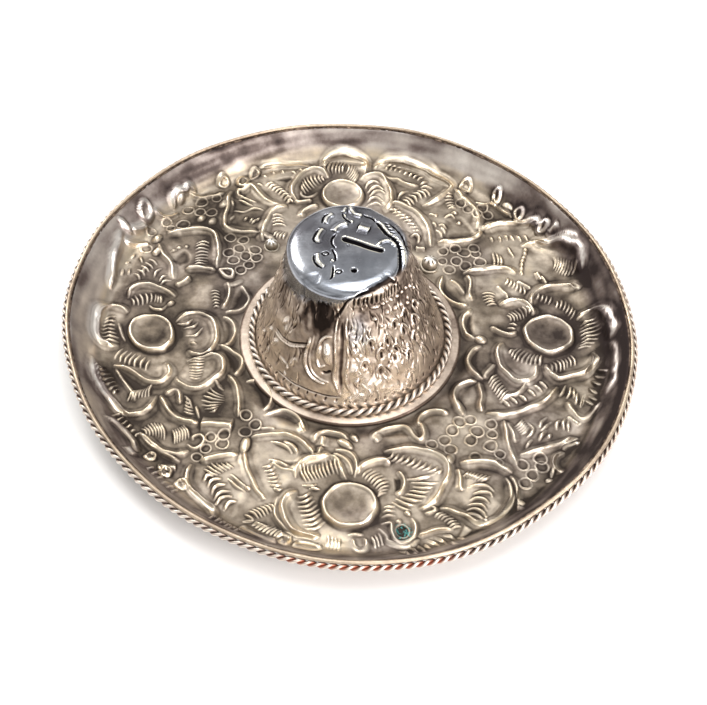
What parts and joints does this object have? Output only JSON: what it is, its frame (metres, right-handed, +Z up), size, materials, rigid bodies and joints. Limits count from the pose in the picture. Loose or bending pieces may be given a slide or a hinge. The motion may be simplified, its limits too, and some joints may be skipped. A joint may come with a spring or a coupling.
{
  "type": "ornamental sombrero dish",
  "caption": "Miniature silver sombrero with a dished, chased flower-and-leaf brim, a hollow tapered crown and twisted rope trim round the crown and the lip.",
  "frame": {"origin": "centre of the flat underside of the brim, on the surface it rests on", "axes": "+Z up along the crown's axis; flowers of the brim lie on +X, -X, +Y and -Y"},
  "size_m": [0.14, 0.14, 0.0345],
  "materials": {
    "brim_silver": "chased silver, dark patina in the recesses",
    "crown_silver": "polished and chased silver, dark tarnish",
    "wire_silver": "rubbed smooth, warm tarnish",
    "rim_rope_silver": "bright ridges, dark and coppery grooves",
    "crown_rope_silver": "bright ridges, dark grooves",
    "bead_silver": "polished"
  },
  "bodies": {
    "root": {"brim": "brim_silver", "crown": "crown_silver", "rim_wire": "wire_silver", "rim_rope_strand_1": "rim_rope_silver", "rim_rope_strand_2": "rim_rope_silver", "crown_rope_strand_1": "crown_rope_silver", "crown_rope_strand_2": "crown_rope_silver", "bead_left": "bead_silver", "bead_right": "bead_silver"}
  },
  "joints": []
}
